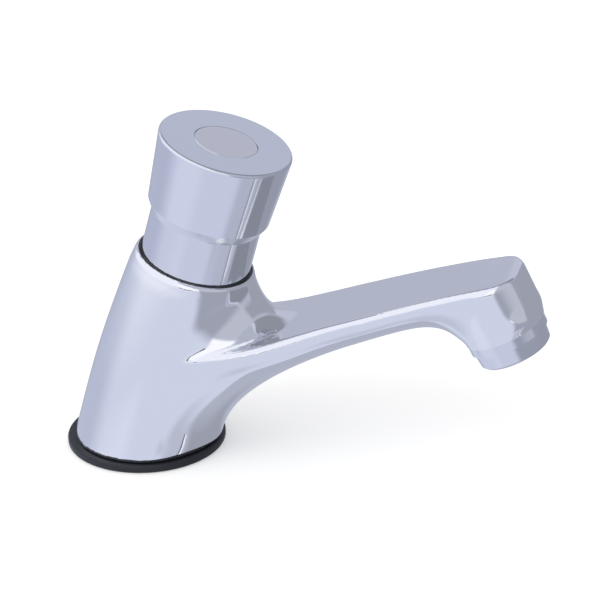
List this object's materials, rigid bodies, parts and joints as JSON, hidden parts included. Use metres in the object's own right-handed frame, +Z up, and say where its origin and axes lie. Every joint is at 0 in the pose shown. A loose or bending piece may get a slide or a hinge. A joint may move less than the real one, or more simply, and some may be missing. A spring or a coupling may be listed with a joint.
{
  "type": "push timed tap",
  "caption": "Single-hole pillar tap with a tilted barrel, a long push button that closes by itself after a delay, and a tapering spout with an aerator.",
  "frame": {"origin": "centre of the base gasket's underside, on the top of the deck", "axes": "+Z up, out of the deck; +X towards the spout; symmetric about the XZ plane"},
  "size_m": [0.1602, 0.052, 0.1588],
  "materials": {
    "body_chrome": "polished",
    "button_chrome": "polished",
    "outlet_chrome": "polished",
    "disc_satin": "satin",
    "gasket_rubber": "matt",
    "seal_rubber": "semi-matt",
    "guide_black": "satin black",
    "brass": "turned",
    "cartridge_brass": "turned",
    "steel": "bright",
    "spring_steel": "bright wire",
    "white_plastic": "moulded",
    "filter_plastic": "moulded"
  },
  "bodies": {
    "tap": {"tap_body": "body_chrome", "base_gasket": "gasket_rubber", "inlet_shank": "brass", "backnut_washer": "steel", "backnut": "brass", "inlet_filter": "filter_plastic", "guide_ring": "guide_black", "cartridge_body": "cartridge_brass", "valve_seat": "cartridge_brass", "cartridge_o_rings": "seal_rubber", "cartridge_cap": "cartridge_brass", "rod_seal": "seal_rubber", "timing_screw": "steel", "return_spring": "spring_steel", "aerator_housing": "outlet_chrome", "aerator_insert": "white_plastic", "aerator_washer": "seal_rubber"},
    "button": {"push_button": "button_chrome", "index_disc": "disc_satin", "button_screw": "steel", "push_rod": "steel", "thrust_washer": "steel", "piston": "white_plastic", "piston_seal": "seal_rubber", "piston_circlip": "steel", "valve_washer": "seal_rubber", "washer_holder": "brass", "stem_nut": "steel"}
  },
  "joints": [
    {"name": "button_push", "type": "slide", "parent": "tap", "child": "button", "axis": [-0.2773, 0, -0.9608], "range_m": [0, 0.006], "stiffness_N_per_m": 1200, "springref_m": -0.012, "deforming": ["return_spring"]}
  ]
}
